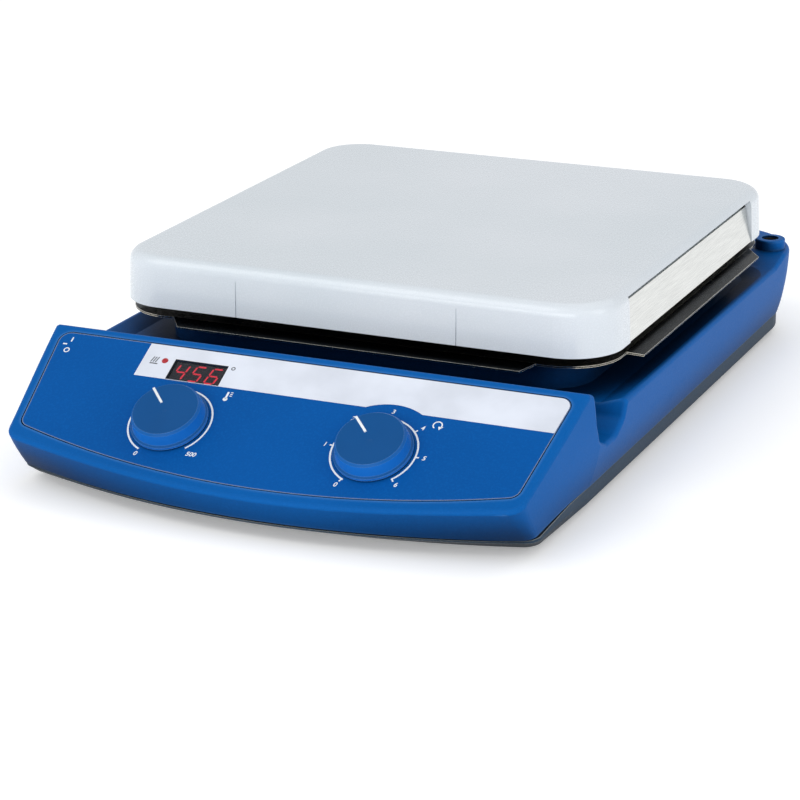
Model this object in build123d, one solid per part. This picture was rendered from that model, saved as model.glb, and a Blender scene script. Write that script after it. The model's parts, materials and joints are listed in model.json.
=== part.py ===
"""Magnetic stirrer with a square heated plate, as an assembly of separate pieces.

Millimetres. +X is the operator's right, -Y the front, +Z up. The origin is on the resting surface,
under the middle of the whole object's box.
"""

from build123d import *
import math
import os

os.makedirs("parts", exist_ok=True)

# Overall proportions
DEPTH = 417.4            # front of the hood to the rear wall
REAR_Y = DEPTH / 2
WALL = 3.0               # thickness of the cast housing
FAR = 260.0              # further out than any piece, for cutting tools

# Housing outline at three heights: the sides flare outwards and the front is bowed
# (height, half width, half width at the front corners, front apex y, depth of the bow,
# front corner radius, rear corner radius)
OUTLINES = (
    (8.0, 130.8, 130.2, -205.8, 26.2, 8.0, 38.0),
    (44.0, 139.1, 129.9, -213.5, 10.4, 9.0, 44.0),
    (66.0, 139.3, 129.7, -216.0, 8.1, 9.0, 46.0),
)
WAIST_Y = -118.0         # the sides turn inwards towards the front from here
PARTING_Z = 13.2         # lower edge of the housing along its sides and rear
PARTING_FRONT_Z = 9.6    # and along its front
PARTING_BEND_Y = (-140.0, -185.0)
SEAL_GAP = 0.9           # dark line between the housing and the base pan

# Base pan and feet
PAN_Z = 4.0              # underside of the base pan
PAN_OUTLINE = (131.6, 131.0, -205.4, 26.6, 8.0, 38.0)
PAN_LOW_OUTLINE = (131.6, 129.0, -196.4, 21.6, 9.0, 38.0)
PAN_TAPER_Z = 7.6        # the pan's front slants in below this height
PAN_WALL = 2.5
FOOT_R = 9.0
FEET = {"front_left": (-104, -150), "front_right": (104, -150),
        "rear_left": (-108, 178), "rear_right": (108, 178)}
PAN_SCREWS = [(x, y) for x in (-117, 117) for y in (-128, 30, 150)]
SCREW_R = 1.5
HEAD_RATIO = 1.9         # a screw head's radius over its shank's

# Control panel plane
PANEL_TOP_Y = -132.1     # the hood's crest
PANEL_TOP_Z = 62.8
PANEL_ANGLE = 28.8       # degrees from the horizontal
CREST = 5.0              # width of the facet behind the crest
CREST_FALL = 1.8         # drop of that facet from front to back
RIM_TOP = 3.6            # rim width above the insert
PANEL_RECESS = 1.4       # depth of the pocket for the insert
PANEL_GAP = 0.5          # groove between the rim and the insert
EDGE_ROUND = 2.0         # rounding of the rim, the side walls' tops and the trough's mouths

# Deck, drain trough, pedestal and rear block
LIP_Z = 46.2             # top of the side walls
DECK_Z = 43.0
TROUGH_Z = 31.5
REAR_TOP_Z = 50.0
PEDESTAL_Z = 56.0
PEDESTAL_HALF = 112.0

# Heated plate
PLATE = 260.0
PLATE_Y = 36.8           # middle of the plate
PLATE_R = 26.0
PLATE_LOW = 64.0
PLATE_TOP = 89.0
PLATE_DRAFT = 2.5        # degrees
PLATE_ROUND = 6.0
CAP_WALL = 4.0
CAP_TOP_WALL = 4.4
SIDE_PANEL_HALF = 93.5   # half the length of a steel side panel
SHIELD_Z = 58.6
SHIELD_HALF = 128.5
LIP_HALF = 95.5          # half the length of a heat shield lip at its root
LIP_OUT = 7.0
LIP_DROP = 2.3
SHEET = 1.0
POST_SPREAD = 85.0
HEATER_HALF = 121.0
HEATER_LOW = 78.6
INSULATION_LOW = 67.0
PANEL_SLOT_TOP = 86.2    # top of the opening in the cap for a steel side panel
PANEL_TOP_GAP = 3.4      # dark reveal over the steel panel
SEAM_X = (-60.2, 56.0)   # folded seams in the cap's front and rear walls

# Controls on the panel plane: x, then distance down the slope from the crest
KNOB_X = 51.8
KNOB_DOWN = 50.1
KNOB_R = 16.6
KNOB_HEIGHT = 8.6
SHAFT_R = 3.0
BUSH_R = 3.8
BUSH_TOP = 2.4           # the potentiometer's bush stands this far over the panel
RUNNING = 0.05           # radial clearance of a shaft in its bearing
POINTER_WIDE = 1.1
POINTER_ANGLE = 45.0     # the pointer rests this far anticlockwise of straight up
WINDOW_X, WINDOW_DOWN, WINDOW_WIDE, WINDOW_HIGH = -52.1, 18.6, 28.2, 12.9
PANE = 1.2               # the window pane reaches this far below the panel surface
LENS_X, LENS_DOWN, LENS_R = -71.1, 14.2, 1.6
BAND_LEFT = -82.8
BAND_DOWN = 25.2         # lower edge of the white band
BAND_ARC = 28.6          # the band stops at this radius round the speed knob
BAND_THICK = 0.2
BOARD_DEPTH = 11.0       # the control board lies this far under the panel surface

# Stirring drive, under the middle of the plate
MOTOR_R = 36.0
MOTOR_LOW = 12.0
MOTOR_HIGH = 37.0
BEARING_R = 8.0
CARRIER_R = 46.0
CARRIER_Z = 42.0
MAGNET_X = 34.0
ROTOR_R = 3.0

# Power switch on the left side of the hood
SWITCH_Y, SWITCH_Z = -140.5, 39.5
SWITCH_FACE_X = -133.2
SWITCH_HALF_Y, SWITCH_HALF_Z = 6.6, 9.8
ROCKER_TILT = 11.0

# Rear connectors
INLET_X, INLET_Z = -60.0, 30.0
SOCKET_X = -46.0
DRAWER_X = -76.0
CONNECTOR_SINK = 2.0     # connectors lie this deep in pockets of the rear wall
SENSOR_X = 50.0

# Power electronics on the base pan
BOARD_Z = 12.0

# Support rod socket, back right
ROD_X, ROD_Y = 128.0, 172.0
BOSS_R = 8.0
BOSS_TOP = 55.5
ROD_HOLE_R = 4.3
ROD_INSERT_R = 6.0
ROD_INSERT_TOP = 54.3
ROD_INSERT_LOW = 30.3

# Names worked out from the driving dimensions above
PAN_FLOOR_Z = PAN_Z + PAN_WALL
CUTOUT_Y = PLATE_Y + 49.5
HEATER_LOOM_X, HEATER_LOOM_Y = -50.0, PLATE_Y + 50.0
PIVOT_X = SWITCH_FACE_X + 1.2
POSTS = [(x, PLATE_Y + y) for x in (-POST_SPREAD, POST_SPREAD) for y in (-POST_SPREAD, POST_SPREAD)]
MOTOR_SCREWS = [(x, PLATE_Y + y) for x in (-17, 17) for y in (-17, 17)]
BRACKET_SCREWS = [(x, PLATE_Y + y) for x in (-71, 71) for y in (-20, 20)]
BOARD_SCREWS = [(x, y) for x in (22, 100) for y in (96, 154)]
TRANSFORMER_SCREWS = [(-107, 111), (-53, 111)]
INLET_PINS = [(SOCKET_X - 7, INLET_Z - 2), (SOCKET_X + 7, INLET_Z - 2), (SOCKET_X, INLET_Z + 2)]
CAPACITORS = [(34, 108, 7.5, 20.0), (34, 128, 7.5, 20.0), (34, 146, 5.0, 12.0)]

parts = {}
slope = math.radians(PANEL_ANGLE)
PANEL = Plane(
    origin=(0, PANEL_TOP_Y, PANEL_TOP_Z),
    x_dir=(1, 0, 0),
    z_dir=(0, -math.sin(slope), math.cos(slope)),
)


def block(x0, x1, y0, y1, z0, z1):
    """A box from its lowest and highest corners."""
    middle = Pos((x0 + x1) / 2, (y0 + y1) / 2, (z0 + z1) / 2)
    return middle * Box(x1 - x0, y1 - y0, z1 - z0)


def post(x, y, z0, z1, radius):
    """An upright cylinder between two heights."""
    return Pos(x, y, (z0 + z1) / 2) * Cylinder(radius, z1 - z0)


def slab(width, depth, radius, z0, z1, x=0.0, y=0.0, taper=0.0):
    """A rounded rectangle extruded between two heights."""
    sketch = Pos(x, y, z0) * RectangleRounded(width, depth, radius)
    return extrude(sketch, z1 - z0, taper=taper)


def rod_y(x, z, y0, y1, radius):
    """A cylinder along Y."""
    return Pos(x, (y0 + y1) / 2, z) * Rot(90, 0, 0) * Cylinder(radius, y1 - y0)


def on_panel(x, down, height=0.0):
    """A location on the panel plane, turned so that its Z axis leaves the panel."""
    return PANEL.location * Pos(x, -down, height)


def panel_block(x, down, wide, high, h0, h1):
    """A box that lies along the panel plane, between two heights over it."""
    return on_panel(x, down, (h0 + h1) / 2) * Box(wide, high, h1 - h0)


def panel_post(x, down, h0, h1, radius):
    """A cylinder square to the panel plane, between two heights over it."""
    return on_panel(x, down, (h0 + h1) / 2) * Cylinder(radius, h1 - h0)


def outline(half_width, front_width, apex, bow, front_r, rear_r, inset=0.0):
    """One horizontal outline of the body, moved inwards by inset."""
    hw = half_width - inset
    fw = front_width - inset
    rear = REAR_Y - inset
    tip = apex + inset
    corner = apex + bow + inset
    border = Curve() + [
        ThreePointArc((-fw, corner), (0, tip), (fw, corner)),
        Line((fw, corner), (hw, WAIST_Y)),
        Line((hw, WAIST_Y), (hw, rear)),
        Line((hw, rear), (-hw, rear)),
        Line((-hw, rear), (-hw, WAIST_Y)),
        Line((-hw, WAIST_Y), (-fw, corner)),
    ]
    face = make_face(border)
    face = fillet(face.vertices().group_by(Axis.Y)[-1], rear_r - inset)
    return fillet(face.vertices().group_by(Axis.Y)[0], front_r - inset)


def housing_block(inset=0.0):
    """The housing's outer form before its top is shaped."""
    sections = [Pos(0, 0, row[0]) * outline(*row[1:], inset=inset) for row in OUTLINES]
    return loft(sections)


def across(points, rounds=()):
    """A side-view polygon carried right across the body, with some corners rounded."""
    face = make_face(Polyline(*points, close=True))
    for index, radius in rounds:
        near = Vector(*points[index])
        corner = face.vertices().sort_by(lambda v: (Vector(v.X, v.Y) - near).length)[0]
        face = fillet(corner, radius)
    return face


def carried(face):
    """A side-view face as a solid from far left to far right."""
    return extrude(Plane.YZ * face, FAR, both=True)


def above_top(deck_z):
    """Side view of everything above the body's top surface, with the deck at a given height."""
    run = FAR + PANEL_TOP_Y
    points = [
        (-FAR, PANEL_TOP_Z - run * math.tan(slope)),
        (PANEL_TOP_Y, PANEL_TOP_Z),
        (PANEL_TOP_Y + CREST, PANEL_TOP_Z - CREST_FALL),
        (-123.4, LIP_Z),
        (-118.0, 36.0),
        (-108.0, TROUGH_Z),
        (-95.0, TROUGH_Z),
        (-88.5, 37.0),
        (-86.5, deck_z),
        (148.0, deck_z),
        (164.0, REAR_TOP_Z),
        (FAR, REAR_TOP_Z),
        (FAR, FAR),
        (-FAR, FAR),
    ]
    rounds = [(1, 2.0), (2, 3.0), (3, 14.0), (4, 8.0), (5, 8.0), (6, 8.0), (7, 5.0)]
    rounds += [(8, 2.0), (9, 14.0), (10, 14.0)]
    return across(points, rounds)


def below_parting(drop=0.0):
    """Side view of everything below the housing's lower edge, or a little lower."""
    bend, front = PARTING_BEND_Y
    points = [
        (FAR, PARTING_Z - drop),
        (bend, PARTING_Z - drop),
        (front, PARTING_FRONT_Z - drop),
        (-FAR, PARTING_FRONT_Z - drop),
        (-FAR, -FAR),
        (FAR, -FAR),
    ]
    return carried(across(points, [(1, 60.0), (2, 60.0)]))


def panel_outline(inset=0.0):
    """The control panel insert's border on the panel plane, moved inwards by inset."""
    top = -RIM_TOP - inset
    low = -64.5 + inset
    top_x, low_x = 132.6 - inset, 126.0 - inset
    border = Curve() + [
        Line((-top_x, top), (top_x, top)),
        Line((top_x, top), (low_x, low)),
        ThreePointArc((low_x, low), (0, -82.0 + inset), (-low_x, low)),
        Line((-low_x, low), (-top_x, top)),
    ]
    face = make_face(border)
    return fillet(face.vertices(), 6.0 - inset)


def top_border(body):
    """The edges where the body's top surface meets its sides, all the way round."""
    found = {}
    for face in body.faces():
        middle = face.center()
        is_top = abs(middle.X) < 1 and face.bounding_box().size.X > 150
        if is_top and middle.Z > 25 and abs(middle.Y) < REAR_Y - 2:
            for edge in face.edges():
                spot = edge @ 0.5
                key = (round(spot.X, 3), round(spot.Y, 3), round(spot.Z, 3))
                found.setdefault(key, []).append(edge)
    return [edges[0] for edges in found.values() if len(edges) == 1]


def screw(x, y, z_head, z_tip, radius=SCREW_R, up=True):
    """A pan-head screw along Z. Its head is at z_head."""
    head = 2.2 if up else -2.2
    low, high = sorted((z_head, z_head + head))
    tip_low, tip_high = sorted((z_head, z_tip))
    crown = post(x, y, low, high, radius * HEAD_RATIO)
    crown = fillet(crown.edges().sort_by(Axis.Z)[-1 if up else 0], 0.6)
    reach = radius * 1.2
    middle = z_head + head
    for wide, deep in ((reach, 0.4), (0.4, reach)):
        crown -= block(x - wide, x + wide, y - deep, y + deep, middle - 1.1, middle + 1.1)
    return crown + post(x, y, tip_low, tip_high, radius)


# Housing -------------------------------------------------------------------------------------

def pan_screw_posts(solid):
    """The housing's inner posts that take the pan screws, cut off inside its outer surface."""
    posts = [post(x, y, PAN_FLOOR_Z + 0.1, 70, 5.0) for x, y in PAN_SCREWS]
    return [p & solid for p in posts]


def make_housing():
    outer = housing_block() - carried(above_top(LIP_Z))
    outer = fillet(top_border(outer), EDGE_ROUND)

    # The deck is a shallow basin between the side walls
    floor = Pos(0, 11, DECK_Z) * RectangleRounded(252, 258, 14)
    mouth = Pos(0, 11, LIP_Z + 0.2) * RectangleRounded(273.6, 279.6, 25)
    basin = loft([floor, mouth])
    outer -= basin & block(-FAR, FAR, -110, 150, 0, FAR)

    inner = housing_block(WALL) - carried(offset(above_top(DECK_Z), WALL))
    pedestal = slab(2 * PEDESTAL_HALF, 232, 24, DECK_Z - 2, PEDESTAL_Z, y=PLATE_Y)
    pedestal = fillet(pedestal.faces().sort_by(Axis.Z)[-1].edges(), 2.0)
    pedestal_hollow = slab(
        2 * (PEDESTAL_HALF - WALL), 226, 21, DECK_Z - 8, PEDESTAL_Z - WALL, y=PLATE_Y
    )
    outer += pedestal
    boss = post(ROD_X, ROD_Y, REAR_TOP_Z - 4, BOSS_TOP, BOSS_R)
    outer += fillet(boss.edges().group_by(Axis.Z)[-1], 0.8)

    shell = outer - inner - pedestal_hollow
    for piece in pan_screw_posts(outer):
        shell += piece
    rod_column = post(ROD_X, ROD_Y, ROD_INSERT_LOW - 4, REAR_TOP_Z, BOSS_R)
    shell += rod_column & outer

    # Pads behind the power switch and the rear connectors
    switch_pad = block(-FAR, SWITCH_FACE_X + 3, SWITCH_Y - 13.5, SWITCH_Y + 13.5, 22, 56)
    shell += switch_pad & outer
    rear_pad = block(-97, 68, REAR_Y - 6, REAR_Y - 2.5, 12, 46)
    shell += rear_pad & outer

    shell -= below_parting()
    return cut_housing(shell)


def cut_housing(shell):
    """The housing's openings, pockets and holes."""
    shell -= PANEL * Pos(0, 0, -PANEL_RECESS) * extrude(panel_outline(), 10)
    shell -= panel_block(WINDOW_X, WINDOW_DOWN, WINDOW_WIDE, WINDOW_HIGH, -8, 1)
    shell -= panel_post(LENS_X, LENS_DOWN, -8, 1, LENS_R)
    for side in (-1, 1):
        shell -= panel_post(side * KNOB_X, KNOB_DOWN, -8, 1, BUSH_R)

    # Power switch: a flat-bottomed pocket and an opening through it
    depth_y, depth_z = SWITCH_HALF_Y + 2.0, SWITCH_HALF_Z + 1.6
    shell -= block(-FAR, SWITCH_FACE_X, SWITCH_Y - depth_y, SWITCH_Y + depth_y,
                   SWITCH_Z - depth_z, SWITCH_Z + depth_z)
    shell -= block(-FAR, SWITCH_FACE_X + 8, SWITCH_Y - SWITCH_HALF_Y, SWITCH_Y + SWITCH_HALF_Y,
                   SWITCH_Z - SWITCH_HALF_Z, SWITCH_Z + SWITCH_HALF_Z)

    # Rear connectors
    sink = REAR_Y - CONNECTOR_SINK
    shell -= block(INLET_X - 31, INLET_X + 31, sink, FAR, INLET_Z - 13, INLET_Z + 13)
    shell -= block(INLET_X - 28, INLET_X + 28, sink - 8, FAR, INLET_Z - 11, INLET_Z + 11)
    shell -= rod_y(SENSOR_X, INLET_Z, sink, FAR, 10.5)
    shell -= rod_y(SENSOR_X, INLET_Z, sink - 8, FAR, 8.0)

    # Rod socket: the insert's seat and a narrower mouth over it
    shell -= post(ROD_X, ROD_Y, ROD_INSERT_LOW, ROD_INSERT_TOP, ROD_INSERT_R)
    shell -= post(ROD_X, ROD_Y, ROD_INSERT_TOP, FAR, ROD_HOLE_R + 0.3)

    # Screw holes from below, and the screws and cables that rise through the pedestal
    for x, y in PAN_SCREWS:
        shell -= post(x, y, 0, 26, SCREW_R)
    for x, y in POSTS:
        shell -= post(x, y, PEDESTAL_Z - 6, PEDESTAL_Z + 1, 2.0)
    shell -= post(HEATER_LOOM_X, HEATER_LOOM_Y, PEDESTAL_Z - 6, PEDESTAL_Z + 1, 4.0)
    return shell


# Base pan, seal, feet ------------------------------------------------------------------------

def make_base_pan():
    full = Pos(0, 0, PAN_TAPER_Z) * outline(*PAN_OUTLINE)
    low = Pos(0, 0, PAN_Z) * outline(*PAN_LOW_OUTLINE)
    pan = loft([low, full], ruled=True) + extrude(full, 8)
    pan -= carried_above_parting(SEAL_GAP)
    pan = fillet(pan.faces().sort_by(Axis.Z)[0].edges(), 1.2)
    hollow = Pos(0, 0, PAN_FLOOR_Z) * outline(*PAN_OUTLINE, inset=PAN_WALL)
    pan -= extrude(hollow, 20)
    for row in range(7):
        for side in (-1, 1):
            slot = slab(34, 3, 1.45, PAN_Z - 1, PAN_FLOOR_Z + 1, x=side * 72, y=-60 + 12 * row)
            pan -= slot
    for x, y in PAN_SCREWS:
        pan -= post(x, y, 0, 20, SCREW_R + 0.1)
        pan -= post(x, y, 0, PAN_Z + 1.0, 3.4)
    for x, y in FEET.values():
        pan -= post(x, y, 0, PAN_Z + 0.8, FOOT_R + 0.1)
        pan -= post(x, y, 0, 20, SCREW_R)
    for x, y in BRACKET_SCREWS + BOARD_SCREWS + TRANSFORMER_SCREWS:
        pan -= post(x, y, 0, 20, SCREW_R)
    return pan


def carried_above_parting(drop):
    """Everything above the parting line, lowered by drop."""
    return block(-FAR, FAR, -FAR, FAR, 0, 40) - below_parting(drop)


def make_seal():
    """The thin seal ring that fills the parting line, set back from both outer faces."""
    ring = extrude(Pos(0, 0, 4) * outline(*PAN_OUTLINE, inset=0.9), 14)
    ring -= extrude(Pos(0, 0, 3) * outline(*PAN_OUTLINE, inset=PAN_WALL), 16)
    return (ring & below_parting()) - below_parting(SEAL_GAP)


def make_foot(x, y):
    top = PAN_Z + 0.8
    foot = post(x, y, 0, top, FOOT_R)
    foot = fillet(foot.edges().sort_by(Axis.Z)[0], 0.8)
    foot -= post(x, y, -1, 2.4, 3.6)
    return foot - post(x, y, 0, top + 1, SCREW_R)


# Heated plate --------------------------------------------------------------------------------

def make_plate_cap():
    cap = slab(PLATE, PLATE, PLATE_R, PLATE_LOW, PLATE_TOP, y=PLATE_Y, taper=PLATE_DRAFT)
    cap = fillet(cap.faces().sort_by(Axis.Z)[-1].edges(), PLATE_ROUND)
    inside = PLATE - 2 * CAP_WALL
    ceiling = PLATE_TOP - CAP_TOP_WALL
    cap -= slab(inside, inside, PLATE_R - CAP_WALL, PLATE_LOW - 1, ceiling, y=PLATE_Y, taper=1.0)
    reach = SIDE_PANEL_HALF + 1.0
    for side in (-1, 1):
        x0, x1 = sorted((side * 120, side * 140))
        cap -= block(x0, x1, PLATE_Y - reach, PLATE_Y + reach, PLATE_LOW - 1, PANEL_SLOT_TOP)
    for seam in SEAM_X:
        cap -= block(seam - 0.25, seam + 0.25, PLATE_Y - 131, PLATE_Y - 129, PLATE_LOW - 1, 82)
    return cap


def make_side_panel(side):
    """A steel sheet that leans inwards, with a flange folded over behind its top edge."""
    low = (129.7, PLATE_LOW + 0.3)
    high = (126.0, PANEL_SLOT_TOP - PANEL_TOP_GAP)
    section = make_face(Polyline(
        low, high, (high[0] - 5.5, high[1]), (high[0] - 5.5, high[1] - SHEET),
        (high[0] - 0.9, high[1] - SHEET), (low[0] - SHEET, low[1]), close=True
    ))
    reach = SIDE_PANEL_HALF
    sheet = extrude(Plane.XZ.offset(-PLATE_Y) * section, reach, both=True)
    if side < 0:
        sheet = mirror(sheet, Plane.YZ)
    return sheet


def make_heater_plate():
    side = 2 * HEATER_HALF
    top = PLATE_TOP - CAP_TOP_WALL
    plate = slab(side, side, 18, HEATER_LOW, top, y=PLATE_Y)
    for side in (-1, 1):
        x0, x1 = sorted((side * 119.2, side * 125))
        reach = SIDE_PANEL_HALF + 0.6
        plate -= block(x0, x1, PLATE_Y - reach, PLATE_Y + reach, HEATER_LOW - 1, top + 1)
    for x, y in POSTS:
        plate -= post(x, y, HEATER_LOW - 1, HEATER_LOW + 3.5, 2.0)
    return plate


def make_heating_element():
    """Three rounded rings of strip element, pressed against the underside of the heater plate."""
    rings = []
    for half in (40.0, 66.0, 104.0):
        outer = slab(2 * half, 2 * half, 14, HEATER_LOW - 3, HEATER_LOW, y=PLATE_Y)
        inner = slab(2 * half - 14, 2 * half - 14, 8, HEATER_LOW - 4, HEATER_LOW + 1, y=PLATE_Y)
        rings.append(outer - inner)
    return rings


def make_insulation():
    pad = slab(236, 236, 18, INSULATION_LOW, HEATER_LOW - 3, y=PLATE_Y)
    for x, y in POSTS:
        pad -= post(x, y, INSULATION_LOW - 1, HEATER_LOW, 6.0)
    pad -= post(HEATER_LOOM_X, HEATER_LOOM_Y, INSULATION_LOW - 1, HEATER_LOW, 4.0)
    pad -= post(0, CUTOUT_Y, INSULATION_LOW - 1, HEATER_LOW, 10.0)
    pad -= block(-4, 4, PLATE_Y - 30, PLATE_Y + 30, HEATER_LOW - 6, HEATER_LOW)
    return pad


def make_heat_shield():
    side = 2 * SHIELD_HALF
    sheet = slab(side, side, 27, SHIELD_Z, SHIELD_Z + SHEET, y=PLATE_Y)
    tilt = math.degrees(math.atan2(LIP_DROP, LIP_OUT))
    reach = math.hypot(LIP_OUT, LIP_DROP)
    tip = LIP_HALF - 5.5
    lip = make_face(Polyline(
        (-0.6, -LIP_HALF), (0, -LIP_HALF), (reach, -tip), (reach, tip), (0, LIP_HALF),
        (-0.6, LIP_HALF), close=True
    ))
    lip = Pos(SHIELD_HALF, 0, SHIELD_Z + SHEET) * Rot(0, tilt, 0) * extrude(lip, -SHEET)
    for quarter in range(4):
        sheet += Pos(0, PLATE_Y, 0) * Rot(0, 0, 90 * quarter) * lip
    for x, y in POSTS:
        sheet -= post(x, y, SHIELD_Z - 1, SHIELD_Z + 3, 5.0)
    return sheet - post(HEATER_LOOM_X, HEATER_LOOM_Y, SHIELD_Z - 1, SHIELD_Z + 3, 4.0)


def make_plate_post(x, y):
    """A spacer between the pedestal and the heater plate, with a collar that carries the shield."""
    body = post(x, y, PEDESTAL_Z, HEATER_LOW, 5.0) + post(x, y, PEDESTAL_Z, SHIELD_Z, 7.5)
    return body - post(x, y, PEDESTAL_Z - 1, HEATER_LOW - 6, SCREW_R)


# Controls ------------------------------------------------------------------------------------

def make_control_panel():
    body = PANEL * Pos(0, 0, -PANEL_RECESS) * extrude(panel_outline(PANEL_GAP), PANEL_RECESS)
    body -= panel_block(WINDOW_X, WINDOW_DOWN, WINDOW_WIDE, WINDOW_HIGH, -3, 1)
    body -= panel_post(LENS_X, LENS_DOWN, -3, 1, LENS_R)
    for side in (-1, 1):
        body -= panel_post(side * KNOB_X, KNOB_DOWN, -3, 1, BUSH_R)
    return body


def make_label_band():
    """The white printed film: a strip along the top that makes room for the speed knob's scale."""
    area = panel_outline(PANEL_GAP + 0.4)
    wide, high = 240.0, BAND_DOWN
    strip = Pos(BAND_LEFT + wide / 2, -high / 2) * Rectangle(wide, high)
    area = area & strip
    area -= Pos(KNOB_X, -KNOB_DOWN) * Circle(BAND_ARC)
    area -= Pos(WINDOW_X, -WINDOW_DOWN) * Rectangle(WINDOW_WIDE, WINDOW_HIGH)
    area -= Pos(LENS_X, -LENS_DOWN) * Circle(LENS_R)
    return PANEL * extrude(area, BAND_THICK)


def make_display_window():
    pane = panel_block(WINDOW_X, WINDOW_DOWN, WINDOW_WIDE, WINDOW_HIGH, -PANE, BAND_THICK)
    return chamfer(pane.edges(), 0.15)


def make_status_lens():
    lens = panel_post(LENS_X, LENS_DOWN, -WALL, 0.7, LENS_R)
    far = PANEL.location.inverse() * lens
    top = far.edges().sort_by(Axis.Z)[-1]
    return PANEL.location * fillet(top, 0.5)


def make_display_module():
    """A three-digit display with its pins down to the control board, and the status lamp."""
    module = panel_block(WINDOW_X, WINDOW_DOWN, 27.4, 12.1, -BOARD_DEPTH, -PANE - 0.1)
    lamp = panel_post(LENS_X, LENS_DOWN, -BOARD_DEPTH, -WALL - 0.2, 1.5)
    return [module, lamp]


def make_control_board():
    return panel_block(0, 38, 190, 52, -BOARD_DEPTH - 1.6, -BOARD_DEPTH)


def make_board_standoffs():
    low, high = -BOARD_DEPTH, -WALL
    return [panel_post(x, down, low, high, 3.0) for x in (-90, 0, 90) for down in (16, 58)]


def make_potentiometer(side):
    """The can behind the panel and its threaded bush through it, bored for the shaft."""
    x = side * KNOB_X
    can = panel_post(x, KNOB_DOWN, -BOARD_DEPTH, -WALL, 8.0)
    bush = panel_post(x, KNOB_DOWN, -WALL, BUSH_TOP, BUSH_R)
    bore = panel_post(x, KNOB_DOWN, -BOARD_DEPTH + 1.5, BUSH_TOP + 1, SHAFT_R + RUNNING)
    return can + bush - bore


def make_pot_nuts():
    nuts = []
    for side in (-1, 1):
        hexagon = extrude(RegularPolygon(7.0, 6), 1.8)
        nut = on_panel(side * KNOB_X, KNOB_DOWN) * hexagon
        nuts.append(nut - panel_post(side * KNOB_X, KNOB_DOWN, -1, 3, BUSH_R))
    return nuts


def make_knob_shaft(side):
    return panel_post(side * KNOB_X, KNOB_DOWN, -BOARD_DEPTH + 2.0, KNOB_HEIGHT - 2.2, SHAFT_R)


def make_knob(side):
    """A skirted knob with a slightly dished face, hollow over the nut."""
    profile = make_face(Polyline(
        (0, 0.7), (KNOB_R + 1.9, 0.7), (KNOB_R + 1.9, 1.9), (KNOB_R + 0.9, 2.6),
        (KNOB_R, KNOB_HEIGHT - 1.0), (KNOB_R - 1.0, KNOB_HEIGHT), (KNOB_R - 2.2, KNOB_HEIGHT),
        (0, KNOB_HEIGHT - 0.5), close=True
    ))
    knob = revolve(Plane.XZ * profile, Axis.Z)
    knob -= post(0, 0, -1, 5.0, 13.0)
    knob += post(0, 0, 3.8, 7.0, 5.0)
    knob -= post(0, 0, -1, KNOB_HEIGHT - 2.2, SHAFT_R)
    knob -= pointer_bar()
    return on_panel(side * KNOB_X, KNOB_DOWN) * knob


def pointer_bar():
    """The white pointer let into a knob's face, in the knob's own frame."""
    bar = Pos(0, 10.6, KNOB_HEIGHT - 0.3) * Box(POINTER_WIDE, 11.0, 1.0)
    return Rot(0, 0, POINTER_ANGLE) * bar


def make_pointer(side):
    return on_panel(side * KNOB_X, KNOB_DOWN) * pointer_bar()


# Stirring drive ------------------------------------------------------------------------------

def make_motor_bracket():
    plate = block(-64, 64, PLATE_Y - 40, PLATE_Y + 40, MOTOR_HIGH, MOTOR_HIGH + 2)
    for side in (-1, 1):
        x0, x1 = sorted((side * 62, side * 64))
        plate += block(x0, x1, PLATE_Y - 30, PLATE_Y + 30, PAN_FLOOR_Z, MOTOR_HIGH + 1)
        x0, x1 = sorted((side * 62, side * 76))
        plate += block(x0, x1, PLATE_Y - 30, PLATE_Y + 30, PAN_FLOOR_Z, PAN_FLOOR_Z + 2)
    plate -= post(0, PLATE_Y, 0, 60, 12.0)
    for x, y in MOTOR_SCREWS:
        plate -= post(x, y, MOTOR_HIGH - 1, MOTOR_HIGH + 3, SCREW_R)
    for x, y in BRACKET_SCREWS:
        plate -= post(x, y, 0, PAN_FLOOR_Z + 3, SCREW_R)
    return plate


def make_motor_can():
    can = post(0, PLATE_Y, MOTOR_LOW, MOTOR_HIGH, MOTOR_R)
    can -= post(0, PLATE_Y, MOTOR_LOW + 2, MOTOR_HIGH - 3, MOTOR_R - 2)
    can += post(0, PLATE_Y, MOTOR_LOW, MOTOR_LOW + 6, BEARING_R + 3)
    can -= post(0, PLATE_Y, MOTOR_LOW + 1, MOTOR_LOW + 7, BEARING_R)
    can += post(0, PLATE_Y, MOTOR_HIGH - 6, MOTOR_HIGH, BEARING_R + 3)
    can -= post(0, PLATE_Y, MOTOR_HIGH - 5, MOTOR_HIGH + 1, BEARING_R)
    can -= post(0, PLATE_Y, MOTOR_HIGH - 7, MOTOR_HIGH + 1, BEARING_R - 2)
    for x, y in MOTOR_SCREWS:
        can -= post(x, y, MOTOR_HIGH - 4, MOTOR_HIGH + 1, SCREW_R)
    return can


def make_bearings():
    bearings = []
    for low in (MOTOR_LOW + 1, MOTOR_HIGH - 5):
        ring = post(0, PLATE_Y, low, low + 5, BEARING_R)
        bearings.append(ring - post(0, PLATE_Y, low - 1, low + 6, ROTOR_R + RUNNING))
    return bearings


def make_stator():
    ring = post(0, PLATE_Y, MOTOR_LOW + 7, MOTOR_HIGH - 8, MOTOR_R - 2)
    ring -= post(0, PLATE_Y, MOTOR_LOW, MOTOR_HIGH, 20.0)
    for turn in range(6):
        slot = Pos(24.5, 0, MOTOR_LOW + 13) * Box(12, 4, 30)
        ring -= Pos(0, PLATE_Y, 0) * Rot(0, 0, 60 * turn) * slot
    return ring


def make_rotor():
    return post(0, PLATE_Y, MOTOR_LOW + 7, MOTOR_HIGH - 8, 18.0) - rotor_bore()


def rotor_bore():
    return post(0, PLATE_Y, MOTOR_LOW, CARRIER_Z + 20, ROTOR_R)


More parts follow.
